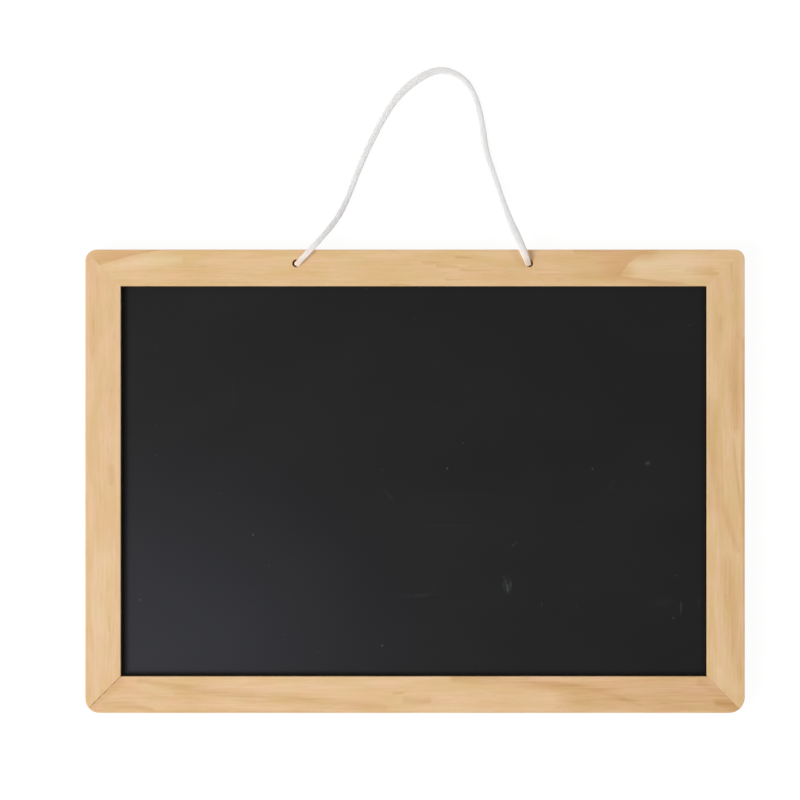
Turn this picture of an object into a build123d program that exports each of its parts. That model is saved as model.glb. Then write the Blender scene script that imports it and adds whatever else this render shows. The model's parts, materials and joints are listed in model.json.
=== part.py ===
from build123d import *

import os
from math import pi, radians, tan

# Framed writing board with a hanging cord, lying on its back with the black face up.
# +X runs along the long side, +Y towards the drilled rail, and z = 0 is the back of the frame.

# Frame
board_width = 370.0
board_height = 260.0
frame_thickness = 12.0
rail_width = 20.5
opening_drift = -0.7
top_left_round = 6.5
top_right_round = 5.4
bottom_left_round = 8.0
bottom_right_round = 8.8
outer_edge_round = 0.5
inner_edge_round = 0.4

# Panel and the groove that holds it
panel_thickness = 3.0
front_lip = 3.5
groove_depth = 5.0
panel_play = 0.2
panel_edge_gap = 0.5

# V-nails across the mitres, driven in from the back
nail_leg = 5.0
nail_strip = 0.6
nail_cover = 0.3
outer_nail_inset = 5.5
inner_nail_inset = 10.5
nail_fit_gap = 0.05

# Cord, its holes and the pockets for its knots
cord_diameter = 3.2
hole_spacing = 130.8
hole_drift = -1.3
hole_play = 1.0
knot_width = 8.4
knot_thickness = 5.8
knot_bearing = 0.4
knot_side_gap = 0.4
knot_recess = 0.6
swing_gap = 0.3
cord_floor_gap = 0.2
arc_share = 0.45

# Sizes that follow from the ones above
opening_width = board_width - 2 * rail_width
opening_height = board_height - 2 * rail_width
groove_height = panel_thickness + panel_play
back_cheek = frame_thickness - front_lip - groove_height
nail_height = back_cheek - nail_cover
hole_line = board_height / 2 - (rail_width - groove_depth) / 2
left_hole = hole_drift - hole_spacing / 2
right_hole = hole_drift + hole_spacing / 2
hole_radius = (cord_diameter + hole_play) / 2
knot_shoulder = hole_radius + knot_bearing
pocket_radius = knot_width / 2 + knot_side_gap
pocket_depth = knot_thickness + knot_recess
cord_radius = cord_diameter / 2
swing_height = frame_thickness + cord_radius + swing_gap
cord_rest = cord_radius + cord_floor_gap
mitre_reach = 2 * rail_width

# Free cord from hole to hole: across, out from the line of the holes, and up from the table
cord_points = [
    (left_hole, 0.0, swing_height),
    (-58.8, 7.2, frame_thickness + 5.2),
    (-51.0, 15.8, frame_thickness + 4.0),
    (-43.2, 25.8, 9.5),
    (-37.5, 37.7, 3.6),
    (-33.2, 50.2, cord_rest),
    (-27.6, 62.7, cord_rest),
    (-20.2, 77.8, cord_rest),
    (-11.6, 93.0, cord_rest),
    (0.4, 104.6, cord_rest),
    (14.4, 111.2, cord_rest),
    (28.2, 105.6, cord_rest),
    (35.2, 93.3, cord_rest),
    (38.2, 78.3, cord_rest),
    (40.2, 63.3, cord_rest),
    (45.0, 49.8, cord_rest),
    (49.0, 37.3, 3.6),
    (52.9, 25.8, 9.5),
    (57.0, 15.8, frame_thickness + 4.0),
    (60.6, 7.2, frame_thickness + 5.2),
    (right_hole, 0.0, swing_height),
]

os.makedirs("parts", exist_ok=True)


def mitre_point(side_x, side_y, inset):
    # A point on the mitre line of one corner, which runs out from the corner of the opening
    return opening_drift + side_x * (board_width / 2 - inset), side_y * (board_height / 2 - inset)


# The whole frame in one piece, with its rounded outline, its opening and the panel groove.
# The outside was trimmed after gluing, so the opening lies a little off the middle.
opening_middle = Plane.YZ.offset(opening_drift)
corner_rounds = {
    (-1, 1): top_left_round,
    (1, 1): top_right_round,
    (-1, -1): bottom_left_round,
    (1, -1): bottom_right_round,
}
with BuildPart() as whole_frame:
    with BuildSketch() as outline:
        Rectangle(board_width, board_height)
        for sides, corner_round in corner_rounds.items():
            corner = outline.vertices().sort_by_distance((*mitre_point(*sides, 0), 0))[0]
            fillet(corner, radius=corner_round)
    extrude(amount=frame_thickness)
    front_and_back = whole_frame.faces().filter_by(Axis.Z)
    fillet(front_and_back.edges(), radius=outer_edge_round)
    with BuildSketch(Plane((opening_drift, 0, 0))):
        Rectangle(opening_width, opening_height)
    extrude(amount=frame_thickness, mode=Mode.SUBTRACT)
    with BuildSketch(Plane((opening_drift, 0, back_cheek))):
        Rectangle(opening_width + 2 * groove_depth, opening_height + 2 * groove_depth)
    extrude(amount=groove_height, mode=Mode.SUBTRACT)

# V-nails, flush with the back: the pair at one corner, mirrored to the other three
with BuildPart() as corner_v_nails:
    with BuildSketch() as nail_pair:
        with Locations(mitre_point(1, 1, outer_nail_inset), mitre_point(1, 1, inner_nail_inset)):
            Rectangle(nail_leg, nail_strip, align=(Align.MAX, Align.MAX))
            Rectangle(nail_strip, nail_leg, align=(Align.MAX, Align.MAX))
    extrude(amount=nail_height)
    mirror(about=opening_middle)
    mirror(about=Plane.XZ)

# The cuts that the V-nails make in the rails
with BuildPart() as nail_slots:
    with BuildSketch():
        add(nail_pair.sketch)
        offset(amount=nail_fit_gap, kind=Kind.INTERSECTION)
    extrude(amount=nail_height + nail_fit_gap)
    mirror(about=opening_middle)
    mirror(about=Plane.XZ)


def mitred_rail(first_corner, second_corner):
    # One side of the frame, between the mitres at two corners
    with BuildPart() as rail:
        add(whole_frame.part)
        with BuildSketch():
            Polygon(
                mitre_point(*first_corner, -rail_width),
                mitre_point(*second_corner, -rail_width),
                mitre_point(*second_corner, mitre_reach),
                mitre_point(*first_corner, mitre_reach),
                align=None,
            )
        extrude(amount=frame_thickness, mode=Mode.INTERSECT)
        front_edge = rail.edges().group_by(Axis.Z)[-1].sort_by_distance((0, 0, frame_thickness))[0]
        back_edge = rail.edges().group_by(Axis.Z)[0].sort_by_distance((0, 0, 0))[0]
        fillet([front_edge, back_edge], radius=inner_edge_round)
        add(nail_slots.part, mode=Mode.SUBTRACT)
    return rail.part


# Upper rail, with the two cord holes and a knot pocket behind each
with BuildPart() as top_rail:
    add(mitred_rail((-1, 1), (1, 1)))
    with Locations(Plane.XY.rotated((180, 0, 0))):
        with Locations((left_hole, -hole_line), (right_hole, -hole_line)):
            CounterBoreHole(hole_radius, pocket_radius, pocket_depth, depth=frame_thickness)
top_rail.part.label = "top_rail"
export_step(top_rail.part, "parts/top_rail.step")

with BuildPart() as bottom_rail:
    add(mitred_rail((1, -1), (-1, -1)))
bottom_rail.part.label = "bottom_rail"
export_step(bottom_rail.part, "parts/bottom_rail.step")

with BuildPart() as left_stile:
    add(mitred_rail((-1, -1), (-1, 1)))
left_stile.part.label = "left_stile"
export_step(left_stile.part, "parts/left_stile.step")

with BuildPart() as right_stile:
    add(mitred_rail((1, 1), (1, -1)))
right_stile.part.label = "right_stile"
export_step(right_stile.part, "parts/right_stile.step")

corner_v_nails.part.label = "corner_v_nails"
export_step(corner_v_nails.part, "parts/corner_v_nails.step")

# Panel, resting on the back cheek of the groove
panel_reach = 2 * (groove_depth - panel_edge_gap)
with BuildPart() as writing_panel:
    with BuildSketch(Plane((opening_drift, 0, back_cheek))):
        Rectangle(opening_width + panel_reach, opening_height + panel_reach)
    extrude(amount=panel_thickness)
writing_panel.part.label = "writing_panel"
export_step(writing_panel.part, "parts/writing_panel.step")

# Stopper knots, drawn up against the pocket floors, each with its leg of cord through the hole
knot_waist = knot_recess + knot_thickness / 2
for side, hole_x in {"left": left_hole, "right": right_hole}.items():
    with BuildPart() as knot:
        with BuildSketch(Plane((hole_x, hole_line, 0), x_dir=(1, 0, 0), z_dir=(0, -1, 0))):
            with BuildLine():
                Polyline((knot_shoulder, knot_recess), (0, knot_recess), (0, frame_thickness))
                Polyline((0, frame_thickness), (cord_radius, frame_thickness), (cord_radius, pocket_depth))
                Line((cord_radius, pocket_depth), (knot_shoulder, pocket_depth))
                ThreePointArc(
                    (knot_shoulder, pocket_depth), (knot_width / 2, knot_waist), (knot_shoulder, knot_recess)
                )
            make_face()
        revolve(axis=Axis((hole_x, hole_line, 0), (0, 0, 1)))
    knot.part.label = f"{side}_knot"
    export_step(knot.part, f"parts/{side}_knot.step")

# Free cord, a round tube whose bends are as wide as their runs allow, with ball ends that
# turn just above the legs in the holes
corners = [Vector(x, hole_line + out, up) for x, out, up in cord_points]
bend_radii = []
for before, corner, after in zip(corners, corners[1:], corners[2:]):
    arriving = corner - before
    leaving = after - corner
    half_turn = radians(arriving.get_angle(leaving) / 2)
    bend_radii.append(arc_share * min(arriving.length, leaving.length) / tan(half_turn))
with BuildPart() as hanging_cord:
    with BuildLine() as cord_line:
        FilletPolyline(*corners, radius=bend_radii)
    with BuildSketch(Plane(cord_line.line @ 0, z_dir=cord_line.line % 0)):
        Circle(cord_radius)
    sweep()
    tube_volume = hanging_cord.part.volume
    with Locations(corners[0], corners[-1]):
        Sphere(cord_radius)
hanging_cord.part.label = "hanging_cord"
export_step(hanging_cord.part, "parts/hanging_cord.step")

cord_length = cord_line.wire().length
print("cord bend radii", [round(radius, 1) for radius in bend_radii])
print("cord length", round(cord_length, 1))
tube_share = tube_volume / (pi * cord_radius**2 * cord_length)
print("cord tube volume over section times length", round(tube_share, 4))
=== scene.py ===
import json
import math

import bpy
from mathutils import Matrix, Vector


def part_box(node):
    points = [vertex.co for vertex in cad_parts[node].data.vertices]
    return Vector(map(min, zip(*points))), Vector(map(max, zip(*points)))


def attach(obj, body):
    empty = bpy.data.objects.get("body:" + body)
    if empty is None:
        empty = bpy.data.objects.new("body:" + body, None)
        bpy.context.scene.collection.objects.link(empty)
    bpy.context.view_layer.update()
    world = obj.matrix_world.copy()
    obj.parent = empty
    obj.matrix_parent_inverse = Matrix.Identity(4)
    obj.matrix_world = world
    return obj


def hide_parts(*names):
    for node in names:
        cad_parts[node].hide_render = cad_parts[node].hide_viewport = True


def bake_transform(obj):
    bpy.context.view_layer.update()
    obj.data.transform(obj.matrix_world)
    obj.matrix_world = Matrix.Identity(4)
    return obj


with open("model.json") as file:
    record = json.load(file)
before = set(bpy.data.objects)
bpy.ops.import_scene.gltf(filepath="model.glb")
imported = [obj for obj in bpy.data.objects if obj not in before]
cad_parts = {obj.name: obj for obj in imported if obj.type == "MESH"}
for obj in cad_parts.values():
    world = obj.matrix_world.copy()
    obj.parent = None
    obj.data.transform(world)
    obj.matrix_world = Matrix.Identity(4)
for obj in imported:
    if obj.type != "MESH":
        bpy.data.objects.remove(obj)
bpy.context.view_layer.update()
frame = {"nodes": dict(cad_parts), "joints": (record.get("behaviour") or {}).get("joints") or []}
scene = bpy.context.scene
scene.view_settings.view_transform = "Standard"
print("frame:", len(frame["nodes"]), "nodes")

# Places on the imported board, in metres
mm = 0.001
perMetre = 1000.0  # millimetres in a metre
topLow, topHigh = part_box("top_rail")
leftLow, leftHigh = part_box("left_stile")
rightLow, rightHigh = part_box("right_stile")
bottomLow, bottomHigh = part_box("bottom_rail")
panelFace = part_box("writing_panel")[1].z
holeLine = frame["joints"][0]["pos_m"][1]
leftHole = sum(corner.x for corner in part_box("left_knot")) / 2
rightHole = sum(corner.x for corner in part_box("right_knot")) / 2
boardHalf = Vector((rightHigh.x, topHigh.y))
openingMiddle = (leftHigh.x + rightLow.x) / 2
faceHeight = topHigh.z


def paint(red, green, blue):
    # Screen colour, 0 to 255, as a linear one
    steps = []
    for level in (red, green, blue):
        share = level / 255
        steps.append(share / 12.92 if share <= 0.04045 else ((share + 0.055) / 1.055) ** 2.4)
    return (*steps, 1.0)


def grey(level):
    return (level, level, level, 1.0)


# Short ways to place and wire nodes
def feed(tree, socket, value):
    if isinstance(value, bpy.types.NodeSocket):
        tree.links.new(value, socket)
    else:
        socket.default_value = value


def addNode(tree, kind, inputs=None, **settings):
    made = tree.nodes.new(kind)
    for name, value in settings.items():
        setattr(made, name, value)
    for name, value in (inputs or {}).items():
        feed(tree, made.inputs[name], value)
    return made


def calc(tree, operation, *values):
    made = addNode(tree, "ShaderNodeMath", operation=operation)
    for slot, value in enumerate(values):
        feed(tree, made.inputs[slot], value)
    return made.outputs[0]


def vectorCalc(tree, operation, first, second=None):
    made = addNode(tree, "ShaderNodeVectorMath", {0: first}, operation=operation)
    if second is not None:
        feed(tree, made.inputs["Scale" if operation == "SCALE" else 1], second)
    return made.outputs["Value" if operation in ("LENGTH", "DISTANCE", "DOT_PRODUCT") else "Vector"]


def ramp(tree, value, low, high, start=0.0, end=1.0):
    made = addNode(tree, "ShaderNodeMapRange", interpolation_type="SMOOTHSTEP")
    for name, setting in (("Value", value), ("From Min", low), ("From Max", high),
                          ("To Min", start), ("To Max", end)):
        feed(tree, made.inputs[name], setting)
    return made.outputs["Result"]


def tint(tree, share, first, second, mode="MIX"):
    made = addNode(tree, "ShaderNodeMix", data_type="RGBA", blend_type=mode)
    feed(tree, made.inputs["Factor"], share)
    feed(tree, made.inputs[6], first)
    feed(tree, made.inputs[7], second)
    return made.outputs[2]


def noise(tree, vector, stretch, shift=(0, 0, 0), detail=2.0, roughness=0.5):
    if not isinstance(stretch, tuple):
        stretch = (stretch, stretch, stretch)
    placed = addNode(tree, "ShaderNodeMapping", {"Vector": vector, "Scale": stretch, "Location": shift})
    made = addNode(tree, "ShaderNodeTexNoise", {"Vector": placed.outputs[0], "Scale": 1.0})
    made.inputs["Detail"].default_value = detail
    made.inputs["Roughness"].default_value = roughness
    return made.outputs["Fac"]


def inMillimetres(tree, place, turn=0.0, shift=(0, 0, 0)):
    inputs = {"Vector": place, "Scale": (perMetre, perMetre, perMetre), "Rotation": (0, 0, turn),
              "Location": shift}
    return addNode(tree, "ShaderNodeMapping", inputs).outputs[0]


def newGroup(name, kind, inputs, outputs):
    group = bpy.data.node_groups.new(name, kind)
    for label, socketType, value in inputs:
        socket = group.interface.new_socket(label, in_out="INPUT", socket_type=socketType)
        if value is not None:
            socket.default_value = value
    for label, socketType in outputs:
        group.interface.new_socket(label, in_out="OUTPUT", socket_type=socketType)
    return group, group.nodes.new("NodeGroupInput"), group.nodes.new("NodeGroupOutput")


def newMaterial(name, **settings):
    material = bpy.data.materials.new(name)
    material.use_nodes = True
    tree = material.node_tree
    tree.nodes.clear()
    surface = addNode(tree, "ShaderNodeBsdfPrincipled")
    for label, value in settings.items():
        surface.inputs[label.replace("_", " ")].default_value = value
    addNode(tree, "ShaderNodeOutputMaterial", {"Surface": surface.outputs[0]})
    place = addNode(tree, "ShaderNodeTexCoord").outputs["Object"]
    return material, tree, surface, place


def addRelief(tree, surface, height, size):
    bump = addNode(tree, "ShaderNodeBump", {"Height": height, **size})
    feed(tree, surface.inputs["Normal"], bump.outputs[0])


# Camera straight above, with the drilled rail at the top of the picture
viewpoint = {
    "middle": (-0.0084, 0.0456),  # point of the table at the middle of the picture
    "height": 2.0,
    "pictureWidth": 0.4488,  # across the board's face
    "sensor": 36.0,
}
lens = bpy.data.cameras.new("overhead")
lens.sensor_width = viewpoint["sensor"]
lens.lens = viewpoint["sensor"] * (viewpoint["height"] - faceHeight) / viewpoint["pictureWidth"]
camera = bpy.data.objects.new("overhead", lens)
camera.location = (*viewpoint["middle"], viewpoint["height"])
scene.collection.objects.link(camera)
scene.camera = camera

# Soft key from the lower left, a fill from the upper right and an even surround
studio = {
    "lamps": {  # place, size, power
        "keyLamp": ((-2.7, -1.42, 2.78), 2.5, 165.0),
        "fillLamp": ((2.4, 1.7, 2.2), 1.8, 36.0),
    },
    "surround": 0.17,
    "floorReach": 3.6,
    "floorDrop": 0.3 * mm,
    "wallRise": 1.8,
    "floorWhite": 0.9,  # the floor as the board's light sees it
    "floorTone": 0.085,  # share of the floor's white that takes the shadow
    "floorGlow": 0.935,  # the rest of it, for rays from the camera, gloss and glass
}


def floorMaterial():
    material = bpy.data.materials.new("paleFloor")
    material.use_nodes = True
    tree = material.node_tree
    tree.nodes.clear()
    plain = addNode(tree, "ShaderNodeBsdfDiffuse", {"Color": grey(studio["floorWhite"])})
    shaded = addNode(tree, "ShaderNodeBsdfDiffuse", {"Color": grey(studio["floorTone"])})
    glow = addNode(tree, "ShaderNodeEmission", {"Strength": studio["floorGlow"]})
    seen = addNode(tree, "ShaderNodeAddShader", {0: shaded.outputs[0], 1: glow.outputs[0]})
    path = addNode(tree, "ShaderNodeLightPath").outputs
    direct = calc(tree, "MAXIMUM", path["Is Camera Ray"], path["Is Glossy Ray"])
    direct = calc(tree, "MAXIMUM", direct, path["Is Transmission Ray"])
    pick = addNode(tree, "ShaderNodeMixShader", {0: direct, 1: plain.outputs[0], 2: seen.outputs[0]})
    addNode(tree, "ShaderNodeOutputMaterial", {"Surface": pick.outputs[0]})
    return material


def lightStudio():
    for name, (place, size, power) in studio["lamps"].items():
        lamp = bpy.data.lights.new(name, "AREA")
        lamp.shape = "SQUARE"
        lamp.size = size
        lamp.energy = power
        stand = bpy.data.objects.new(name, lamp)
        stand.location = place
        stand.rotation_mode = "QUATERNION"
        stand.rotation_quaternion = (-Vector(place)).to_track_quat("-Z", "Y")
        stand.visible_camera = False
        scene.collection.objects.link(stand)
    world = bpy.data.worlds.new("surround")
    scene.world = world
    world.use_nodes = True
    even = world.node_tree.nodes["Background"]
    even.inputs["Color"].default_value = grey(1.0)
    even.inputs["Strength"].default_value = studio["surround"]

    # Floor with its edges turned up, all one pale sheet
    reach, rise, low = studio["floorReach"], studio["wallRise"], -studio["floorDrop"]
    ring = ((-1, -1), (1, -1), (1, 1), (-1, 1))
    corners = [(x * reach, y * reach, height) for height in (low, rise) for x, y in ring]
    walls = [(side, side + 4, (side + 1) % 4 + 4, (side + 1) % 4) for side in range(4)]
    mesh = bpy.data.meshes.new("floor")
    mesh.from_pydata(corners, [], [(0, 1, 2, 3), *walls])
    mesh.materials.append(floorMaterial())
    floor = bpy.data.objects.new("floor", mesh)
    scene.collection.objects.link(floor)


lightStudio()
print("studio: camera,", ", ".join(studio["lamps"]), "and floor")

# White braided cord: its yarn
yarn = {
    "white": paint(236, 235, 234),
    "paintedWoodBounce": paint(244, 232, 226),  # painted bounce light from the wood, where it lies over the rail
    "hollow": paint(222, 220, 219),
    "soiled": paint(230, 211, 192),  # where it rubs on the hole's rim
    # painted shade and wood stain for the cord down in the holes
    "holeShadeAndStain": paint(188, 98, 4),
    "specular": 0.2,
    "fuzz": 4200.0,  # fibres per metre
    "fuzzRange": (0.62, 0.3),
    "fuzzShare": 0.4,
    "fuzzRelief": {"Strength": 0.3, "Distance": 0.1 * mm},
    "soil": 90.0,  # dull patches per metre
    "soilRange": (0.45, 0.75, 0.0, 0.25),
    "railEdge": (0.1325, 0.129),  # distances up the board and heights, in metres
    "rimSide": (0.1262, 0.1232),
    "holeSide": (0.1275, 0.1255),
    "holeTop": (0.0118, 0.0108),
    "pocketTop": (0.0062, 0.0068),
}


def yarnMaterial():
    material, tree, surface, place = newMaterial(
        "whiteYarn", Roughness=0.9, Sheen_Weight=0.15, Specular_IOR_Level=yarn["specular"])
    fuzz = noise(tree, place, yarn["fuzz"], detail=3.0, roughness=0.65)
    soil = noise(tree, place, yarn["soil"], (3, 1, 7), detail=3.0)
    split = addNode(tree, "ShaderNodeSeparateXYZ", {0: place}).outputs
    # Painted light: the cord is warmer and brighter where it lies over the rail, as if lit by light bounced
    # off the wood
    colour = tint(tree, ramp(tree, split[1], *yarn["railEdge"]), yarn["white"], yarn["paintedWoodBounce"])
    colour = tint(tree, ramp(tree, split[1], *yarn["rimSide"]), colour, yarn["soiled"])
    share = ramp(tree, soil, *yarn["soilRange"])
    share = calc(tree, "MULTIPLY_ADD", ramp(tree, fuzz, *yarn["fuzzRange"]), yarn["fuzzShare"], share)
    colour = tint(tree, share, colour, yarn["hollow"])

    # Painted shade and a stain from the wood where it goes down a hole: dim and brown
    holeShadeMask = ramp(tree, split[2], *yarn["holeTop"])
    holeShadeMask = calc(tree, "MULTIPLY", holeShadeMask, ramp(tree, split[2], *yarn["pocketTop"]))
    holeShadeMask = calc(tree, "MULTIPLY", holeShadeMask, ramp(tree, split[1], *yarn["holeSide"]))
    colour = tint(tree, holeShadeMask, colour, yarn["holeShadeAndStain"])
    feed(tree, surface.inputs["Base Color"], colour)
    addRelief(tree, surface, fuzz, yarn["fuzzRelief"])
    return material


whiteYarn = yarnMaterial()

# Braid along a curve: half of the yarns wind one way, half the other, over and under by turns
braidWaves = {"roll": 38.0, "swell": 70.0}  # per metre of cord
braidSides = {"Yarn Radius": 6, "Core Radius": 8}


def braidTree():
    decimal, whole = "NodeSocketFloat", "NodeSocketInt"
    tree, start, end = newGroup(
        "braidAlongCurve", "GeometryNodeTree",
        [("Geometry", "NodeSocketGeometry", None), ("Yarns Each Way", whole, 6),
         ("Braid Pitch", decimal, 0.008), ("Half Width", decimal, 0.0012), ("Half Height", decimal, 0.0008),
         ("Yarn Radius", decimal, 0.0004), ("Weave Lift", decimal, 0.25), ("Flat Turn", decimal, 0.0),
         ("Swell", decimal, 0.0), ("Ring Step", decimal, 0.0005), ("Core Radius", decimal, 0.0007),
         ("Seed", decimal, 0.0), ("Material", "NodeSocketMaterial", None)],
        [("Geometry", "NodeSocketGeometry")])
    given = start.outputs
    line = addNode(tree, "GeometryNodeResampleCurve", mode="LENGTH")
    feed(tree, line.inputs["Curve"], given["Geometry"])
    feed(tree, line.inputs["Length"], given["Ring Step"])
    stretch = addNode(tree, "GeometryNodeInputRadius").outputs[0]
    count = calc(tree, "MULTIPLY", given["Yarns Each Way"], 2.0)
    copies = addNode(tree, "GeometryNodeDuplicateElements", {"Geometry": line.outputs[0], "Amount": count},
                     domain="SPLINE")
    number = copies.outputs["Duplicate Index"]
    travel = addNode(tree, "GeometryNodeSplineParameter").outputs["Length"]

    # Where each yarn is on the oval section
    way = calc(tree, "MULTIPLY_ADD", calc(tree, "MODULO", number, 2.0), 2.0, -1.0)
    lane = calc(tree, "FLOOR", calc(tree, "DIVIDE", number, 2.0))
    turn = calc(tree, "DIVIDE", calc(tree, "MULTIPLY", travel, math.tau), given["Braid Pitch"])
    spread = calc(tree, "DIVIDE", calc(tree, "MULTIPLY", lane, math.tau), given["Yarns Each Way"])
    angle = calc(tree, "MULTIPLY_ADD", way, turn, spread)
    weave = calc(tree, "COSINE", calc(tree, "MULTIPLY", turn, given["Yarns Each Way"]))
    lift = calc(tree, "MULTIPLY_ADD", calc(tree, "MULTIPLY", way, weave), given["Weave Lift"], 1.0)

    # The flat of the cord rolls and swells as it goes
    wave = {}
    for name, rate in braidWaves.items():
        field = addNode(tree, "ShaderNodeTexNoise", noise_dimensions="1D")
        feed(tree, field.inputs["W"], calc(tree, "MULTIPLY_ADD", travel, rate, given["Seed"]))
        wave[name] = calc(tree, "SUBTRACT", field.outputs["Fac"], 0.5)
    roll = calc(tree, "MULTIPLY", wave["roll"], given["Flat Turn"])
    swell = calc(tree, "MULTIPLY", calc(tree, "MULTIPLY_ADD", wave["swell"], given["Swell"], lift), stretch)
    across = calc(tree, "MULTIPLY", given["Half Width"], calc(tree, "COSINE", angle))
    across = calc(tree, "MULTIPLY", across, swell)
    upward = calc(tree, "MULTIPLY", given["Half Height"], calc(tree, "SINE", angle))
    upward = calc(tree, "MULTIPLY", upward, swell)
    rollCos = calc(tree, "COSINE", roll)
    rollSin = calc(tree, "SINE", roll)
    turnedAcross = calc(tree, "SUBTRACT", calc(tree, "MULTIPLY", across, rollCos),
                        calc(tree, "MULTIPLY", upward, rollSin))
    turnedUpward = calc(tree, "MULTIPLY_ADD", across, rollSin, calc(tree, "MULTIPLY", upward, rollCos))

    normal = addNode(tree, "GeometryNodeInputNormal").outputs[0]
    tangent = addNode(tree, "GeometryNodeInputTangent").outputs[0]
    side = vectorCalc(tree, "CROSS_PRODUCT", normal, tangent)
    offset = vectorCalc(tree, "ADD", vectorCalc(tree, "SCALE", normal, turnedAcross),
                        vectorCalc(tree, "SCALE", side, turnedUpward))
    wound = addNode(tree, "GeometryNodeSetPosition",
                    {"Geometry": copies.outputs["Geometry"], "Offset": offset})

    both = addNode(tree, "GeometryNodeJoinGeometry")
    for path, radius in ((wound, "Yarn Radius"), (line, "Core Radius")):
        ring = addNode(tree, "GeometryNodeCurvePrimitiveCircle",
                       {"Resolution": braidSides[radius], "Radius": given[radius]})
        tube = addNode(tree, "GeometryNodeCurveToMesh", {"Scale": stretch, "Fill Caps": True})
        feed(tree, tube.inputs["Curve"], path.outputs[0])
        feed(tree, tube.inputs["Profile Curve"], ring.outputs[0])
        tree.links.new(tube.outputs[0], both.inputs[0])
    smooth = addNode(tree, "GeometryNodeSetShadeSmooth", {"Geometry": both.outputs[0]})
    real = addNode(tree, "GeometryNodeRealizeInstances", {"Geometry": smooth.outputs[0]})
    coloured = addNode(tree, "GeometryNodeSetMaterial", {"Geometry": real.outputs[0]})
    feed(tree, coloured.inputs["Material"], given["Material"])
    tree.links.new(coloured.outputs[0], end.inputs["Geometry"])
    return tree


braid = braidTree()


def routeCurve(name, points, twistMode):
    curve = bpy.data.curves.new(name, "CURVE")
    curve.dimensions = "3D"
    curve.twist_mode = twistMode
    curve.resolution_u = 12
    spline = curve.splines.new("NURBS")
    spline.points.add(len(points) - 1)
    for point, (place, roll, stretch) in zip(spline.points, points):
        point.co = (*place, 1.0)
        point.tilt = math.radians(roll)
        point.radius = stretch
    spline.order_u = 3
    spline.use_endpoint_u = True
    route = bpy.data.objects.new(name, curve)
    scene.collection.objects.link(route)
    return route


def evaluatedMesh(piece):
    graph = bpy.context.evaluated_depsgraph_get()
    return bpy.data.meshes.new_from_object(piece.evaluated_get(graph))


def braidedPiece(name, points, sizes, twistMode):
    # The braid round a route, and the route's own line
    route = routeCurve(name + "Route", points, twistMode)
    line = evaluatedMesh(route)
    centres = [vertex.co.copy() for vertex in line.vertices]
    bpy.data.meshes.remove(line)
    modifier = route.modifiers.new("braid", "NODES")
    modifier.node_group = braid
    for item in braid.interface.items_tree:
        if item.in_out == "INPUT" and item.name in sizes:
            modifier[item.identifier] = sizes[item.name]
    mesh = evaluatedMesh(route)
    mesh.name = name
    route.modifiers.remove(modifier)
    bpy.data.objects.remove(route)
    piece = bpy.data.objects.new(name, mesh)
    scene.collection.objects.link(piece)
    return piece, centres


# Hanging cord, hole to hole: the route of its solid, with its ends carried down into the holes
hangingCord = {
    "route": [  # across, out and up (mm), roll of the cord's flat (degrees), its width (mm)
        (-66.5, 121.2, 9.0, 0, 2.9), (-66.5, 121.2, 11.4, 0, 2.9), (-65.8, 122.2, 13.7, 0, 3.0),
        (-58.8, 129.45, 15.6, -5, 2.8), (-51.0, 138.05, 14.6, -14, 2.8), (-43.2, 148.05, 8.6, -16, 3.2),
        (-37.5, 159.95, 3.0, -12, 2.8), (-33.2, 172.45, 1.3, -8, 3.1), (-27.8, 184.95, 1.3, -3, 3.1),
        (-20.4, 200.05, 1.3, -2, 3.1), (-11.6, 215.25, 1.3, -2, 3.5), (0.4, 226.4, 1.4, 0, 4.0),
        (14.4, 232.9, 1.4, 2, 3.4), (28.0, 227.3, 1.3, 5, 3.2), (34.9, 215.45, 1.3, 7, 2.8),
        (37.9, 200.55, 1.3, 6, 3.4), (39.9, 185.55, 1.3, 6, 3.3), (44.8, 172.05, 1.3, 8, 2.9),
        (48.9, 159.55, 3.0, 9, 2.8), (52.8, 148.05, 8.6, 3, 3.2), (56.8, 138.05, 14.6, 2, 4.2),
        (60.6, 129.45, 15.6, 0, 3.9), (63.5, 122.3, 13.7, 0, 3.0), (63.9, 121.2, 11.4, 0, 2.9),
        (63.9, 121.2, 9.0, 0, 2.9),
    ],
    "length": 0.28,
    "diameter": 0.0032,
    "plainWidth": 3.0,
    "bendStart": 12.4 * mm,  # height where the cord starts to follow the loop
    "bendRun": (0.0, 3.0 * mm, 4.0 * mm),
    "braid": {"Yarns Each Way": 7, "Braid Pitch": 8.0 * mm, "Half Width": 1.25 * mm, "Half Height": 0.31 * mm,
              "Yarn Radius": 0.44 * mm, "Weave Lift": 0.07, "Flat Turn": 0.4, "Swell": 0.15,
              "Ring Step": 0.55 * mm, "Core Radius": 0.55 * mm, "Seed": 4.0, "Material": whiteYarn},
}


def makeHangingCord(knots):
    plain = hangingCord["plainWidth"]
    points = [(Vector((x, y, z)) * mm, roll, width / plain) for x, y, z, roll, width in hangingCord["route"]]
    cord, centres = braidedPiece("hangingCord", points, hangingCord["braid"], "Z_UP")
    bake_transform(cord)
    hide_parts("hanging_cord")
    run = sum((b - a).length for a, b in zip(centres, centres[1:]))
    print("hanging cord:", round(run, 4), "m,", len(cord.data.polygons), "faces")


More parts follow.
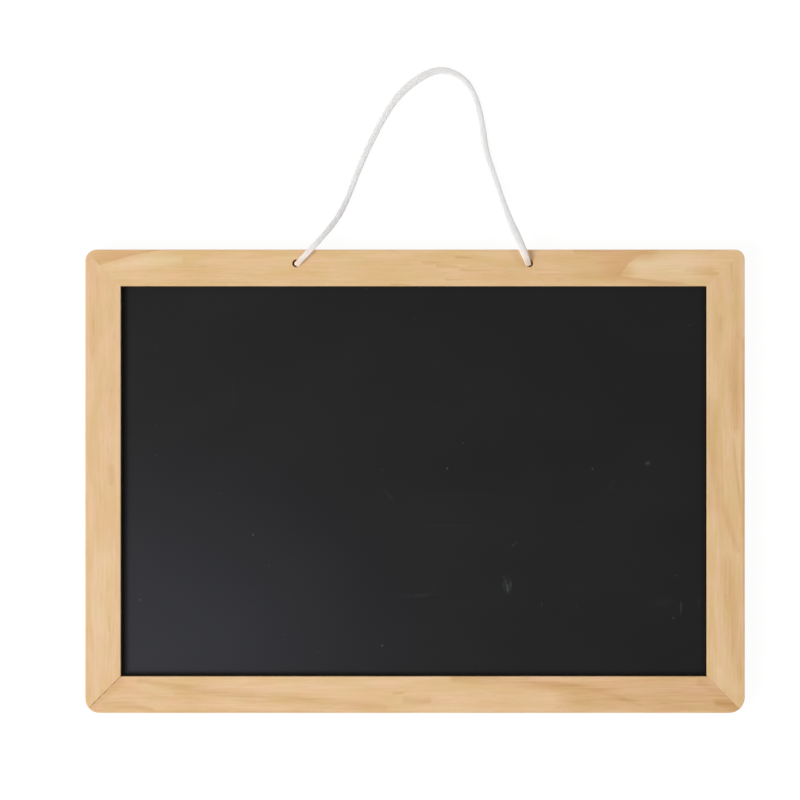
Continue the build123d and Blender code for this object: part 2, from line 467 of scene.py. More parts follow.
# Stopper knots: an overhand knot drawn up in each pocket, with its leg up the hole and a cut tail
stopperKnot = {
    "loopRadius": 2.0 * mm,
    "loopDepth": 1.05 * mm,
    "middle": 4.15 * mm,  # height of the knot's middle above the table
    "leg": ((10.6, 1.5), (9.0, 1.5), (6.9, 1.0)),  # height on the hole's axis (mm), stretch
    "startAngle": math.pi / 6,
    "points": 20,
    "closed": 0.93,  # share of the knot's round before the tail leaves it
    "tail": ((3.3, -1.2, -1.2), (3.0, -1.9, -2.6)),  # mm from the knot's middle
    "braid": {"Yarns Each Way": 5, "Braid Pitch": 5.0 * mm, "Half Width": 0.72 * mm, "Half Height": 0.72 * mm,
              "Yarn Radius": 0.34 * mm, "Weave Lift": 0.15, "Swell": 0.1, "Ring Step": 0.35 * mm,
              "Core Radius": 0.6 * mm, "Material": whiteYarn},
}


def knotRoute(middle, side):
    # Down the hole, round a trefoil and out along the tail
    points = []
    for height, stretch in stopperKnot["leg"]:
        points.append((Vector((middle.x, middle.y, height * mm)), 0, stretch))
    for step in range(stopperKnot["points"]):
        share = step / (stopperKnot["points"] - 1) * stopperKnot["closed"]
        angle = stopperKnot["startAngle"] + math.tau * share
        radius = stopperKnot["loopRadius"] + stopperKnot["loopDepth"] * math.cos(3 * angle)
        turned = Vector((side * radius * math.cos(2 * angle), radius * math.sin(2 * angle),
                         stopperKnot["loopDepth"] * math.sin(3 * angle)))
        points.append((middle + turned, 0, 1.0))
    for x, y, z in stopperKnot["tail"]:
        points.append((middle + Vector((side * x, y, z)) * mm, 0, 1.0))
    return points


def makeStopperKnots():
    knots = []
    for name, node, hole, side in (("leftStopperKnot", "left_knot", leftHole, -1),
                                   ("rightStopperKnot", "right_knot", rightHole, 1)):
        points = knotRoute(Vector((hole, holeLine, stopperKnot["middle"])), side)
        knot, _ = braidedPiece(name, points, stopperKnot["braid"], "MINIMUM")
        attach(knot, "board")
        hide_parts(node)
        knots.append(knot)
    print("stopper knots:", [len(knot.data.polygons) for knot in knots], "faces")
    return knots


makeHangingCord(makeStopperKnots())

# Pine: growth rings, fibres and resin dashes, in millimetres along, across and through the rail
pineGrain = {
    "fields": {  # waves per mm along, across and through, shift, detail, roughness
        "drift": ((0.011, 0.055, 0.055), (0, 0, 0), 3.0, 0.5),
        "ripple": ((0.05, 0.3, 0.3), (5, 2, 9), 2.0, 0.5),
        "fibre": ((0.03, 0.8, 0.8), (1, 4, 2), 4.0, 0.6),
        "pore": ((0.16, 4.5, 4.5), (8, 3, 1), 2.0, 0.6),
        "dash": ((0.13, 1.7, 1.7), (2, 7, 5), 1.0, 0.5),
        "dashPatch": ((0.02, 0.09, 0.09), (6, 1, 3), 1.0, 0.5),
        "cloud": ((0.028, 0.14, 0.14), (9, 5, 4), 3.0, 0.6),
        "blush": ((0.06, 0.1, 0.1), (3, 8, 6), 2.0, 0.5),
    },
    "driftShare": 2.0,
    "rippleShare": 0.5,
    "slopeRun": (-60.0, 100.0),  # mm along the rail, where the slope below the bow comes in
    "yearTone": (0.75, 1.0),  # latewood of the palest and the darkest year
    "dashRange": (0.62, 0.7),
    "dashPatchRange": (0.4, 0.58),
}


def pineGroup():
    decimal = "NodeSocketFloat"
    tree, start, end = newGroup(
        "pineFigure", "ShaderNodeTree",
        [("Vector", "NodeSocketVector", None), ("Along", decimal, 0.01), ("Across", decimal, 0.2),
         ("Through", decimal, 0.8), ("Bow Up", decimal, 0.0), ("Slope Down", decimal, 0.0),
         ("Bow Middle", decimal, 0.0), ("Bow Taper", decimal, 0.0), ("Ring Width", decimal, 4.0),
         ("Ring Start", decimal, 0.0), ("Ring Rise", decimal, 3.5), ("Ring Edge", decimal, 0.05),
         ("Waver", decimal, 0.4)],
        [("Latewood", decimal), ("Fibre", decimal), ("Dashes", decimal), ("Cloud", decimal),
         ("Pore", decimal), ("Wander", decimal), ("Blush", decimal)])
    given = start.outputs
    place = given["Vector"]
    along, across, through = addNode(tree, "ShaderNodeSeparateXYZ", {0: place}).outputs
    field = {name: noise(tree, place, *setting) for name, setting in pineGrain["fields"].items()}

    # Age of the wood: it rises along, across and through the rail, bowed above a line and sloped below it
    drift = calc(tree, "SUBTRACT", field["drift"], 0.5)
    ripple = calc(tree, "MULTIPLY", calc(tree, "SUBTRACT", field["ripple"], 0.5), pineGrain["rippleShare"])
    wander = calc(tree, "MULTIPLY_ADD", drift, pineGrain["driftShare"], ripple)
    above = calc(tree, "SUBTRACT", across, given["Bow Middle"])
    up = calc(tree, "POWER", calc(tree, "MAXIMUM", above, 0.0), 2.0)
    up = calc(tree, "MULTIPLY", up, calc(tree, "MULTIPLY_ADD", along, given["Bow Taper"], 1.0))
    down = calc(tree, "MAXIMUM", calc(tree, "MULTIPLY", above, -1.0), 0.0)
    down = calc(tree, "MULTIPLY", down, ramp(tree, along, *pineGrain["slopeRun"]))
    age = calc(tree, "MULTIPLY", along, given["Along"])
    for span, rise in ((across, "Across"), (through, "Through"), (up, "Bow Up"), (down, "Slope Down"),
                       (wander, "Waver")):
        age = calc(tree, "MULTIPLY_ADD", span, given[rise], age)
    ring = calc(tree, "ADD", calc(tree, "DIVIDE", age, given["Ring Width"]), given["Ring Start"])

    # Each ring darkens slowly, then turns pale at once
    part = calc(tree, "FRACT", ring)
    year = addNode(tree, "ShaderNodeTexWhiteNoise", {"W": calc(tree, "FLOOR", ring)}, noise_dimensions="1D")
    edge = calc(tree, "DIVIDE", calc(tree, "SUBTRACT", 1.0, part), given["Ring Edge"])
    dark = calc(tree, "MULTIPLY", calc(tree, "POWER", part, given["Ring Rise"]), ramp(tree, edge, 0.0, 1.0))
    tone = ramp(tree, year.outputs["Value"], 0.0, 1.0, *pineGrain["yearTone"])

    dashPatch = ramp(tree, field["dashPatch"], *pineGrain["dashPatchRange"])
    results = {
        "Latewood": calc(tree, "MULTIPLY", dark, tone),
        "Dashes": calc(tree, "MULTIPLY", ramp(tree, field["dash"], *pineGrain["dashRange"]), dashPatch),
        "Wander": wander, "Fibre": field["fibre"], "Pore": field["pore"], "Cloud": field["cloud"],
        "Blush": field["blush"],
    }
    for name, value in results.items():
        tree.links.new(value, end.inputs[name])
    return tree


# One soft band of grain from point to point on the frame's face, in millimetres
strokeDepth = (8.0, 3.0)  # below the face, where a band is gone and where it is whole


def strokeGroup():
    decimal, spot = "NodeSocketFloat", "NodeSocketVector"
    tree, start, end = newGroup(
        "grainStroke", "ShaderNodeTree",
        [("Vector", spot, None), ("From", spot, None), ("To", spot, None), ("From Width", decimal, 1.0),
         ("To Width", decimal, 1.0), ("Depth", decimal, 0.5), ("Face", decimal, 12.0)],
        [("Mask", decimal)])
    given = start.outputs
    split = addNode(tree, "ShaderNodeSeparateXYZ", {0: given["Vector"]}).outputs
    flat = addNode(tree, "ShaderNodeCombineXYZ", {0: split[0], 1: split[1]}).outputs[0]
    away = vectorCalc(tree, "SUBTRACT", flat, given["From"])
    run = vectorCalc(tree, "SUBTRACT", given["To"], given["From"])
    share = addNode(tree, "ShaderNodeMath", operation="DIVIDE", use_clamp=True)
    feed(tree, share.inputs[0], vectorCalc(tree, "DOT_PRODUCT", away, run))
    feed(tree, share.inputs[1], vectorCalc(tree, "DOT_PRODUCT", run, run))
    share = share.outputs[0]
    gap = vectorCalc(tree, "DISTANCE", away, vectorCalc(tree, "SCALE", run, share))
    width = calc(tree, "SUBTRACT", given["To Width"], given["From Width"])
    width = calc(tree, "MULTIPLY_ADD", width, share, given["From Width"])
    band = ramp(tree, calc(tree, "DIVIDE", gap, width), 1.0, 0.0)
    depth = calc(tree, "SUBTRACT", given["Face"], split[2])
    band = calc(tree, "MULTIPLY", band, ramp(tree, depth, *strokeDepth))
    tree.links.new(calc(tree, "MULTIPLY", band, given["Depth"]), end.inputs["Mask"])
    return tree


# Glue lines where two rails meet at a mitre, in millimetres on the whole frame
mitres = {
    "line": {"Line": 0.42, "Upper Left": 0.0, "Upper Right": 0.0, "Lower Left": 0.9, "Lower Right": 0.25},
    "patches": 0.35,  # changes of the line's width per mm
    "width": (0.3, 0.7, 0.45, 1.2),
    "edge": (1.0, 0.25),
}


def mitreGroup():
    decimal = "NodeSocketFloat"
    tree, start, end = newGroup(
        "mitreLine", "ShaderNodeTree",
        [("Vector", "NodeSocketVector", None), ("Middle", decimal, 0.0), ("Longer By", decimal, 55.0),
         ("Line", decimal, 0.4),
         ("Upper Left", decimal, 0.2), ("Upper Right", decimal, 0.2),
         ("Lower Left", decimal, 0.2), ("Lower Right", decimal, 0.2)],
        [("Mask", decimal)])
    given = start.outputs
    split = addNode(tree, "ShaderNodeSeparateXYZ", {0: given["Vector"]}).outputs
    across = calc(tree, "ABSOLUTE", calc(tree, "SUBTRACT", split[0], given["Middle"]))
    gap = calc(tree, "SUBTRACT", across, calc(tree, "ABSOLUTE", split[1]))
    gap = calc(tree, "ABSOLUTE", calc(tree, "SUBTRACT", gap, given["Longer By"]))
    patch = noise(tree, given["Vector"], mitres["patches"])
    width = calc(tree, "MULTIPLY", given["Line"], ramp(tree, patch, *mitres["width"]))
    line = ramp(tree, calc(tree, "DIVIDE", gap, width), *mitres["edge"])
    right = calc(tree, "GREATER_THAN", split[0], 0.0)
    upper = calc(tree, "GREATER_THAN", split[1], 0.0)
    left = calc(tree, "SUBTRACT", 1.0, right)
    lower = calc(tree, "SUBTRACT", 1.0, upper)
    depth = 0.0
    for firstSide, secondSide, name in ((left, upper, "Upper Left"), (right, upper, "Upper Right"),
                                        (left, lower, "Lower Left"), (right, lower, "Lower Right")):
        corner = calc(tree, "MULTIPLY", firstSide, secondSide)
        depth = calc(tree, "MULTIPLY_ADD", corner, given[name], depth)
    tree.links.new(calc(tree, "MULTIPLY", line, depth), end.inputs["Mask"])
    return tree


pineFigure = pineGroup()
grainStroke = strokeGroup()
mitreLine = mitreGroup()

pineRails = {
    "top_rail": {
        "turn": 0.0, "middle": (topLow + topHigh) / 2,
        "figure": {"Along": 0.0133, "Across": 0.0, "Through": 0.9, "Bow Up": -0.00175, "Slope Down": -0.1,
                   "Bow Middle": -4.5, "Bow Taper": -0.0033, "Ring Width": 4.0, "Ring Start": 0.607,
                   "Ring Rise": 9.0, "Ring Edge": 0.006, "Waver": 0.06},
        "early": paint(224, 190, 143), "late": paint(205, 161, 108), "contrast": 0.85,
        "strokes": [  # from, to (mm on the frame), widths, depth (below zero is pale)
            ((90, 129), (131, 128), 2.6, 8.8, 0.7), ((103, 123), (116, 117), 8.8, 10.5, 0.3),
            ((118, 114.5), (134, 112.5), 1.1, 3.1, 0.6), ((134, 112.5), (151, 111), 3.1, 1.4, 0.6),
            ((154, 118.8), (166, 117.8), 3.5, 4.5, 0.6), ((166, 117), (174, 116), 3.1, 2.1, 0.6),
            ((23, 125.3), (32, 125.0), 1.6, 0.5, 0.75), ((4, 122.6), (15, 122.3), 1.3, 0.4, 0.6),
            ((12, 120.4), (24, 120.0), 1.3, 0.4, 0.6), ((26, 118.7), (44, 118.2), 1.2, 0.4, 0.6),
            ((18, 113.8), (28, 113.3), 1.3, 0.4, 0.5), ((-13, 110.9), (-2, 110.5), 1.4, 0.5, 0.5),
            ((68, 119.0), (84, 118.4), 1.4, 0.5, 0.6), ((70, 116.1), (85, 115.7), 1.3, 0.4, 0.6),
            ((96, 114.7), (103, 114.3), 1.6, 0.5, 0.5), ((104, 114.3), (112, 113.9), 1.6, 0.5, 0.5),
            ((-165, 121.5), (-150, 123.2), 4.0, 5.5, -0.8), ((-150, 123.2), (-132, 124.0), 5.5, 3.0, -0.7),
            ((127, 121), (152, 121), 8.5, 17.0, -0.6),
            ((-175, 121.2), (-165, 121.5), 3.0, 4.0, -0.5), ((72, 121), (100, 121), 9.0, 9.0, -0.22),
        ],
    },
    "bottom_rail": {
        "turn": 0.0, "middle": (bottomLow + bottomHigh) / 2,
        "figure": {"Along": 0.03, "Across": 0.27, "Through": 0.6, "Ring Width": 4.26, "Ring Start": 0.3,
                   "Ring Edge": 0.45, "Waver": 1.6},
        "early": paint(226, 192, 149), "late": paint(194, 146, 92), "contrast": 0.17,
        "strokes": [
            ((-154, -111.4), (-126, -116.2), 3.5, 4.2, 0.46), ((-126, -116.2), (-91, -120.2), 4.2, 6.0, 0.38),
            ((-91, -120.2), (-53, -124), 6.0, 4.7, 0.32), ((-53, -124), (-17, -126.7), 4.7, 3.9, 0.32),
            ((-152.6, -115.5), (-137, -119.4), 4.2, 2.8, -0.25),
            ((-175, -125.6), (-158, -126), 5.2, 4.5, 0.43),
            ((-158, -126), (-148, -128.6), 4.2, 2.4, 0.43), ((-12, -119.1), (-7, -118.8), 0.9, 0.9, 0.48),
            ((-5, -122.5), (8, -122.8), 3.5, 2.8, 0.33), ((22, -111), (59, -113), 3.5, 6.3, 0.49),
            ((59, -113), (88, -115.7), 6.3, 5.2, 0.54), ((88, -115.7), (104, -118.4), 5.2, 5.2, 0.58),
            ((104, -118.4), (128, -124.2), 5.2, 4.5, 0.62), ((112, -112.8), (154, -113.4), 8.0, 5.6, 0.38),
            ((128, -124), (149, -123), 4.2, 4.9, 0.52), ((149, -123), (176, -124.4), 4.9, 6.0, 0.52),
            ((104, -127.2), (171, -128.4), 3.5, 3.9, 0.29), ((90, -120), (185, -120), 17.5, 31.5, 0.45),
            ((-165, -118), (-125, -118), 14.0, 12.0, 0.19), ((-182, -127), (-166, -112), 7.0, 7.0, 0.42),
            ((170, -124), (184, -127), 6.0, 10.0, 1.02), ((160, -113), (178, -122), 6.0, 8.0, 0.65),
            # This band along the lower outer edge is painted shade
            ((-150, -129.9), (150, -129.9), 1.5, 1.5, 0.34),
        ],
    },
    "left_stile": {
        "turn": -math.pi / 2, "middle": (leftLow + leftHigh) / 2,
        "figure": {"Along": 0.006, "Across": 0.16, "Through": 0.7, "Ring Width": 4.0, "Ring Start": 0.2,
                   "Ring Edge": 0.5, "Waver": 0.9},
        "early": paint(225, 191, 149), "late": paint(214, 174, 128), "contrast": 0.3,
        "strokes": [
            ((-182, 124), (-178, 113), 7.0, 6.0, 0.3), ((-176, 86.5), (-176, 81.5), 1.1, 1.1, 0.5),
            ((-181, 90), (-181, 82.5), 1.2, 0.9, 0.5), ((-180.8, 75), (-181, 71), 1.1, 1.1, 0.5),
            ((-174.3, 68.5), (-174.5, 63), 1.4, 1.1, 0.4),
            ((-169.7, 7.5), (-169.5, -0.5), 3.9, 2.8, 0.6), ((-175.5, -8), (-175.7, -9.5), 2.4, 1.8, 0.5),
            ((-172, -76.5), (-172, -84), 1.4, 1.1, 0.7), ((-177, -60), (-176.5, -70), 1.1, 1.1, 0.4),
            ((-175, -44), (-175, -80), 9.0, 9.0, -0.35),
        ],
    },
    "right_stile": {
        "turn": -math.pi / 2, "middle": (rightLow + rightHigh) / 2,
        "figure": {"Along": -0.03, "Across": 0.25, "Through": 0.6, "Ring Width": 5.4, "Ring Start": 0.574,
                   "Ring Edge": 0.5, "Waver": 1.2},
        "early": paint(223, 190, 145), "late": paint(205, 162, 114), "contrast": 0.25,
        "strokes": [
            ((181.2, 126), (181.2, 85), 3.2, 4.0, 0.3), ((181.2, 85), (179.5, 67), 5.2, 9.5, 0.5),
            ((179.5, 67), (180.6, 31), 8.8, 4.2, 0.55), ((179, 23.7), (184, -18.4), 1.4, 1.6, 0.5),
            ((165, 43), (167.7, -13.4), 7.0, 8.8, 0.4), ((173, -14), (176.2, -25), 2.8, 3.9, 0.5),
            ((176.2, -25), (181.2, -38.6), 3.9, 2.8, 0.5), ((175.5, -46), (178.4, -83), 7.7, 8.8, 0.45),
            ((178.4, -83), (182, -110), 8.8, 4.0, 0.45), ((174.2, -63.3), (175, -73.4), 1.2, 1.2, 0.6),
            ((177.3, -89), (178.4, -100.3), 1.2, 1.2, 0.5), ((169.8, 114), (169.8, 108.5), 1.4, 1.1, 0.4),
            ((171, 91.7), (171.2, 84), 2.8, 2.1, 0.4), ((178.4, 123), (178.5, 106), 0.9, 0.9, 0.45),
            # The band at 184.8 mm on the next line is painted shade along the right outer edge
            ((171, -106), (178, -117), 5.0, 6.0, -0.35), ((184.8, 80), (184.8, -100), 1.6, 1.6, 0.7),
        ],
    },
}
pineFinish = {
    "tones": [  # light and colour of each figure's low and high ends
        ("Cloud", (0.97, 0.94, 0.85, 1), (1.025, 1.03, 1.075, 1)),
        ("Blush", (0.985, 1.0, 0.96, 1), (1.02, 0.985, 1.02, 1)),
        ("Fibre", (0.97, 0.955, 0.935, 1), (1.02, 1.025, 1.035, 1)),
        ("Pore", (0.992, 0.99, 0.988, 1), (1.005, 1.005, 1.008, 1)),
    ],
    "toneRange": (0.32, 0.68),
    "pale": paint(232, 206, 168),
    "dash": paint(170, 120, 76),
    "dashShare": 0.15,
    "glue": paint(140, 88, 48),
    "strokeSway": 2.4,  # mm that a band is bent by the grain
    "strokeFibre": (0.3, 0.6, 1.2, 0.75),
    "specular": 0.3,
    "roughness": (0.2, 0.8, 0.5, 0.64),
    "relief": {"Strength": 0.15, "Distance": 0.08 * mm},
}

# Bored walls of the cord holes, and the knot pockets behind them
drilled = {
    "wall": paint(226, 152, 52),
    "wallRadius": (2.45, 2.0, 0.0, 0.9),  # mm from the hole's axis
    "pocket": paint(140, 98, 62),
    "pocketRadius": 4.9,
    "pocketShare": 0.35,
    "pocketDrop": 4.0 * mm,  # below the rail's face
}


def drilledColour(tree, spot, colour):
    split = addNode(tree, "ShaderNodeSeparateXYZ", {0: spot}).outputs
    upward = calc(tree, "SUBTRACT", split[1], holeLine * perMetre)
    fromLeft = calc(tree, "ABSOLUTE", calc(tree, "SUBTRACT", split[0], leftHole * perMetre))
    fromRight = calc(tree, "ABSOLUTE", calc(tree, "SUBTRACT", split[0], rightHole * perMetre))
    across = calc(tree, "MINIMUM", fromLeft, fromRight)
    radius = calc(tree, "MULTIPLY_ADD", across, across, calc(tree, "MULTIPLY", upward, upward))
    radius = calc(tree, "SQRT", radius)
    colour = tint(tree, ramp(tree, radius, *drilled["wallRadius"]), colour, drilled["wall"])
    below = calc(tree, "LESS_THAN", split[2], (faceHeight - drilled["pocketDrop"]) * perMetre)
    pocket = calc(tree, "MULTIPLY", calc(tree, "LESS_THAN", radius, drilled["pocketRadius"]), below)
    return tint(tree, calc(tree, "MULTIPLY", pocket, drilled["pocketShare"]), colour, drilled["pocket"])


def pineMaterial(node, look):
    material, tree, surface, place = newMaterial(
        node.replace("_", "") + "Pine", Specular_IOR_Level=pineFinish["specular"])
    spot = inMillimetres(tree, place)
    # Grain runs along the rail, with its zero on the middle of the rail's face
    centre = Vector((look["middle"].x, look["middle"].y, faceHeight)) * perMetre
    if look["turn"]:
        centre = Vector((centre.y, -centre.x, centre.z))
    grain = inMillimetres(tree, place, look["turn"], -centre)
    figure = addNode(tree, "ShaderNodeGroup", node_tree=pineFigure)
    for name, value in {"Vector": grain, **look["figure"]}.items():
        feed(tree, figure.inputs[name], value)
    figure = figure.outputs

    # Bands of the figure that stand out, and lines of painted shade along two outer edges, each a little bent
    # by the grain
    sway = calc(tree, "MULTIPLY", figure["Wander"], pineFinish["strokeSway"])
    bent = addNode(tree, "ShaderNodeCombineXYZ", {0: sway, 1: sway}).outputs[0]
    bent = vectorCalc(tree, "ADD", spot, bent)
    dark, pale = 0.0, 0.0
    for start, end, startWidth, endWidth, depth in look["strokes"]:
        sizes = {"Vector": bent, "From": (*start, 0), "To": (*end, 0), "From Width": startWidth,
                 "To Width": endWidth, "Depth": abs(depth), "Face": faceHeight * perMetre}
        stroke = addNode(tree, "ShaderNodeGroup", sizes, node_tree=grainStroke).outputs["Mask"]
        if depth > 0:
            dark = calc(tree, "MAXIMUM", dark, stroke)
        else:
            pale = calc(tree, "MAXIMUM", pale, stroke)

    latewood = calc(tree, "MULTIPLY", figure["Latewood"], look["contrast"])
    dark = calc(tree, "MULTIPLY", dark, ramp(tree, figure["Fibre"], *pineFinish["strokeFibre"]))
    colour = tint(tree, calc(tree, "MAXIMUM", latewood, dark), look["early"], look["late"])
    colour = tint(tree, pale, colour, pineFinish["pale"])
    for name, low, high in pineFinish["tones"]:
        tone = tint(tree, ramp(tree, figure[name], *pineFinish["toneRange"]), low, high)
        colour = tint(tree, 1.0, colour, tone, "MULTIPLY")
    dashes = calc(tree, "MULTIPLY", figure["Dashes"], pineFinish["dashShare"])
    colour = tint(tree, dashes, colour, pineFinish["dash"])
    lines = {"Vector": spot, "Middle": openingMiddle * perMetre,
             "Longer By": (boardHalf.x - boardHalf.y) * perMetre, **mitres["line"]}
    joint = addNode(tree, "ShaderNodeGroup", lines, node_tree=mitreLine)
    colour = tint(tree, joint.outputs["Mask"], colour, pineFinish["glue"])
    if node == "top_rail":
        colour = drilledColour(tree, spot, colour)
    feed(tree, surface.inputs["Base Color"], colour)
    feed(tree, surface.inputs["Roughness"], ramp(tree, figure["Fibre"], *pineFinish["roughness"]))
    addRelief(tree, surface, figure["Pore"], pineFinish["relief"])
    return material


for railNode, railLook in pineRails.items():
    frame["nodes"][railNode].material_slots[0].material = pineMaterial(railNode, railLook)
print("pine:", ", ".join(pineRails))

# Writing panel: matt black lacquer on its face, bare hardboard with a wire-screen print behind
panelLook = {
    "black": paint(19, 19, 20),
    "worn": paint(21, 21, 22),
    "wipes": (0.012, 0.02, 0.02),  # per mm
    "wornRange": (0.4, 0.75),
    "roughness": (0.3, 0.8, 0.42, 0.45),
    "gloss": 0.34,
    "tooth": 3.5,  # grains of the lacquer per mm
    "toothShare": 0.12,
    "relief": {"Strength": 0.5, "Distance": 0.1 * mm},
    "faceDepth": 0.5 * mm,  # of the lacquer, down the panel's edges
    # pale bluish colour for the dust specks, and for the haze that is dust and painted sheen
    "dustAndSheen": paint(190, 193, 220),
    "specks": {"perMm": 0.11, "picked": 0.965, "size": (0.035, 0.075), "edge": (1.0, 0.5),
               "depth": (0.025, 0.13)},
    "dustSheenCorner": (-165.0, -109.0),  # dust wiped into the lower left corner, with painted sheen of the lamp's reflection there
    "dustSheenShape": (1, 1 / 1.3, 1),  # the haze is flatter than it is wide
    "dustSheen": [(195.0, 0.0255), (330.0, 0.0085)],  # reach (mm), depth
    "dustSheenEdge": (0.4, 3.6),  # mm in from the frame, where the haze starts and where it is full
    "smear": paint(192, 202, 200),
    "smearPatches": 0.8,  # per mm
    "smearRange": (0.3, 0.62),
    "smudgeThrough": 10.0,  # mm into the panel
    "smudgeEdge": (1.0, 0.1),  # shares of a smudge's reach, where it starts and where it is full
    "smudges": [  # middle, half length, half width (mm), turn, depth
        ((2.0, -64.2), 15.0, 1.2, 0.07, 0.02), ((10.0, -61.0), 4.0, 0.6, 1.0, 0.015),
        ((51.3, -57.7), 5.6, 0.8, 1.86, 0.055), ((53.9, -58.5), 5.0, 0.7, 1.57, 0.05),
        ((52.2, -60.3), 3.4, 1.1, 1.5, 0.075), ((49.8, -58.3), 3.0, 0.7, 1.4, 0.03),
        ((50.0, -53.9), 2.2, 0.9, 0.2, 0.03), ((51.8, -58.5), 7.0, 3.6, 1.6, 0.016),
        ((56.0, -35.3), 3.0, 0.7, 0.8, 0.07), ((-15.0, -7.5), 7.0, 1.4, -0.9, 0.02),
        ((29.0, -7.5), 26.0, 0.8, 0.0, 0.011), ((18.0, -25.0), 30.0, 0.8, 0.0, 0.011),
        ((-102.0, 50.0), 13.0, 0.8, 1.57, 0.012), ((110.0, -3.0), 6.0, 2.0, 1.0, 0.01),
        ((140.0, -68.0), 9.0, 3.2, 0.1, 0.009), ((149.5, -71.0), 5.5, 0.8, 1.5, 0.05),
        ((159.6, -67.5), 4.5, 0.7, 1.5, 0.02), ((71.3, -70.0), 4.0, 0.7, 1.5, 0.03),
        ((145.3, -76.8), 1.0, 0.9, 0.0, 0.13), ((147.0, -53.0), 1.0, 0.8, 0.0, 0.08),
        ((130.7, 10.0), 2.4, 1.6, 0.4, 0.06),
    ],
    "gapShade": [  # side, mm in from the frame where the shade fades and where it is full, depth
        ("left", 4.8, 2.6, 0.42), ("right", 4.0, 0.0, 0.35), ("lower", 4.0, 0.0, 0.35),
        ("left", 0.9, 0.2, 1.0), ("right", 0.9, 0.2, 1.0), ("lower", 0.9, 0.2, 1.0),
    ],
    "gapTone": paint(8, 7, 6),
    "board": paint(126, 92, 62),
    "boardDark": paint(92, 62, 40),
    "chips": 0.5,  # per mm
    "chipRange": (0.3, 0.7),
    "screenPitch": 1.7,  # mm
    "screenShare": 0.35,
}


def distanceFrom(tree, spot, middle, turn, reach):
    # Distance from a place on the panel's face, where one is the reach each way
    inputs = {"Vector": spot, "Location": (*middle, panelFace * perMetre), "Rotation": (0, 0, turn),
              "Scale": reach}
    local = addNode(tree, "ShaderNodeMapping", inputs, vector_type="TEXTURE")
    return vectorCalc(tree, "LENGTH", local.outputs[0])


def speckMask(tree, spot):
    specks = panelLook["specks"]
    cells = addNode(tree, "ShaderNodeTexVoronoi", {"Vector": spot, "Scale": specks["perMm"]},
                    voronoi_dimensions="2D")
    pick = addNode(tree, "ShaderNodeSeparateColor", {0: cells.outputs["Color"]}).outputs
    size = ramp(tree, pick[2], 0.0, 1.0, *specks["size"])
    speck = ramp(tree, calc(tree, "DIVIDE", cells.outputs["Distance"], size), *specks["edge"])
    speck = calc(tree, "MULTIPLY", speck, ramp(tree, pick[1], 0.0, 1.0, *specks["depth"]))
    return calc(tree, "MULTIPLY", speck, calc(tree, "GREATER_THAN", pick[0], specks["picked"]))


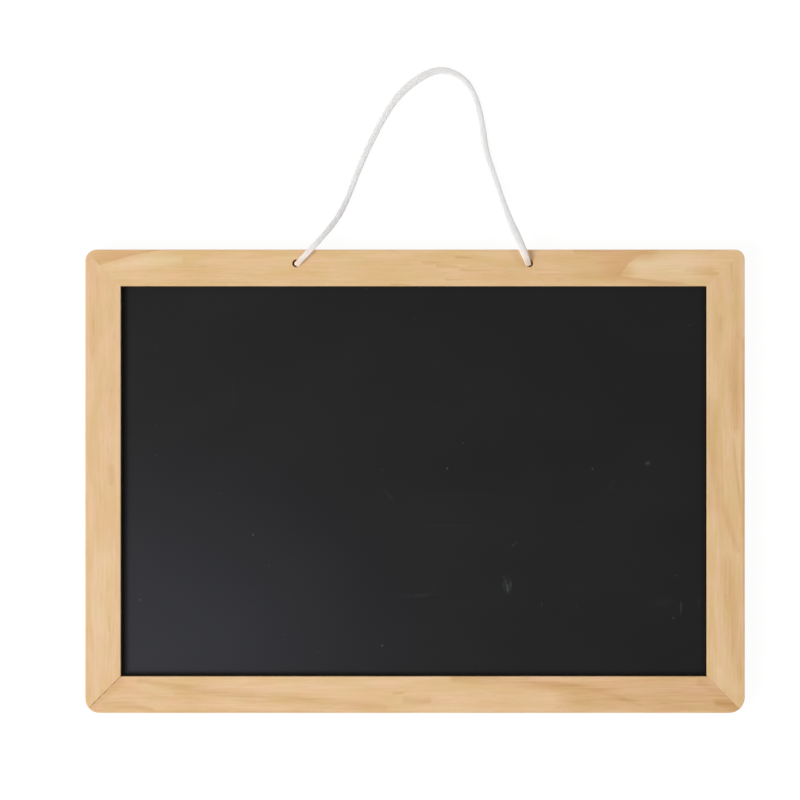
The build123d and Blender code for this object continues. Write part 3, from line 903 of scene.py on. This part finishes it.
def panelMaterial():
    material, tree, surface, place = newMaterial("chalkBlack", Specular_IOR_Level=panelLook["gloss"])
    spot = inMillimetres(tree, place)
    split = addNode(tree, "ShaderNodeSeparateXYZ", {0: spot}).outputs
    isFace = calc(tree, "GREATER_THAN", split[2], (panelFace - panelLook["faceDepth"]) * perMetre)
    inset = {  # mm in from the frame
        "left": calc(tree, "SUBTRACT", split[0], leftHigh.x * perMetre),
        "right": calc(tree, "SUBTRACT", rightLow.x * perMetre, split[0]),
        "lower": calc(tree, "SUBTRACT", split[1], bottomHigh.y * perMetre),
    }

    # Face: lacquer with specks and smudges of dust, and a haze of dust and painted sheen, lighter towards the
    # lower left
    wiped = noise(tree, spot, panelLook["wipes"], detail=4.0, roughness=0.6)
    face = tint(tree, ramp(tree, wiped, *panelLook["wornRange"]), panelLook["black"], panelLook["worn"])
    face = tint(tree, speckMask(tree, spot), face, panelLook["dustAndSheen"])
    away = distanceFrom(tree, spot, panelLook["dustSheenCorner"], 0.0, panelLook["dustSheenShape"])
    reached = ramp(tree, calc(tree, "MINIMUM", inset["left"], inset["lower"]), *panelLook["dustSheenEdge"])
    # Painted sheen with dust: the face is lightened towards the lower left corner
    for reach, depth in panelLook["dustSheen"]:
        dustSheen = calc(tree, "MULTIPLY", ramp(tree, away, reach, 0.0, 0.0, depth), reached)
        face = tint(tree, dustSheen, face, panelLook["dustAndSheen"])
    patches = noise(tree, spot, panelLook["smearPatches"], detail=4.0, roughness=0.7)
    patches = ramp(tree, patches, *panelLook["smearRange"])
    for middle, halfLength, halfWidth, turn, depth in panelLook["smudges"]:
        away = distanceFrom(tree, spot, middle, turn, (halfLength, halfWidth, panelLook["smudgeThrough"]))
        mark = ramp(tree, away, *panelLook["smudgeEdge"], 0.0, depth)
        face = tint(tree, calc(tree, "MULTIPLY", mark, patches), face, panelLook["smear"])

    # Shade where the face meets the stiles and the lower rail
    shade = 0.0
    for side, fade, full, depth in panelLook["gapShade"]:
        shade = calc(tree, "MAXIMUM", shade, ramp(tree, inset[side], fade, full, 0.0, depth))
    face = tint(tree, shade, face, panelLook["gapTone"])
    gloss = calc(tree, "MULTIPLY", calc(tree, "SUBTRACT", 1.0, shade), panelLook["gloss"])
    feed(tree, surface.inputs["Specular IOR Level"], gloss)

    # Back: pressed chips with the print of the screen
    pitch = math.tau / panelLook["screenPitch"]
    weft = calc(tree, "SINE", calc(tree, "MULTIPLY", split[0], pitch))
    warp = calc(tree, "SINE", calc(tree, "MULTIPLY", split[1], pitch))
    screen = calc(tree, "MULTIPLY", weft, warp)
    chips = noise(tree, spot, panelLook["chips"], (4, 4, 1), detail=4.0, roughness=0.7)
    back = tint(tree, ramp(tree, chips, *panelLook["chipRange"]), panelLook["boardDark"], panelLook["board"])
    printed = ramp(tree, screen, 0.0, 1.0, 0.0, panelLook["screenShare"])
    back = tint(tree, printed, back, panelLook["boardDark"])

    feed(tree, surface.inputs["Base Color"], tint(tree, isFace, back, face))
    tooth = noise(tree, spot, panelLook["tooth"], (2, 2, 2))
    relief = calc(tree, "MULTIPLY", screen, calc(tree, "SUBTRACT", 1.0, isFace))
    relief = calc(tree, "MULTIPLY_ADD", tooth, panelLook["toothShare"], relief)
    addRelief(tree, surface, relief, panelLook["relief"])
    feed(tree, surface.inputs["Roughness"], ramp(tree, wiped, *panelLook["roughness"]))
    return material


frame["nodes"]["writing_panel"].material_slots[0].material = panelMaterial()
print("panel: lacquer, dust and hardboard back")

# V-nails: strip steel, rolled along its length
nailLook = {
    "bright": paint(178, 177, 174),
    "dull": paint(128, 126, 124),
    "rolled": (900, 900, 6000),  # per metre
    "stains": 350,
    "stainRange": (0.35, 0.7),
    "roughness": (0.3, 0.7, 0.3, 0.5),
}


def nailMaterial():
    material, tree, surface, place = newMaterial("nailSteel", Metallic=1.0)
    rolled = noise(tree, place, nailLook["rolled"], detail=3.0)
    stain = ramp(tree, noise(tree, place, nailLook["stains"], (3, 3, 3)), *nailLook["stainRange"])
    feed(tree, surface.inputs["Base Color"], tint(tree, stain, nailLook["bright"], nailLook["dull"]))
    feed(tree, surface.inputs["Roughness"], ramp(tree, rolled, *nailLook["roughness"]))
    return material


frame["nodes"]["corner_v_nails"].material_slots[0].material = nailMaterial()
print("v-nails: strip steel")

bpy.context.view_layer.update()
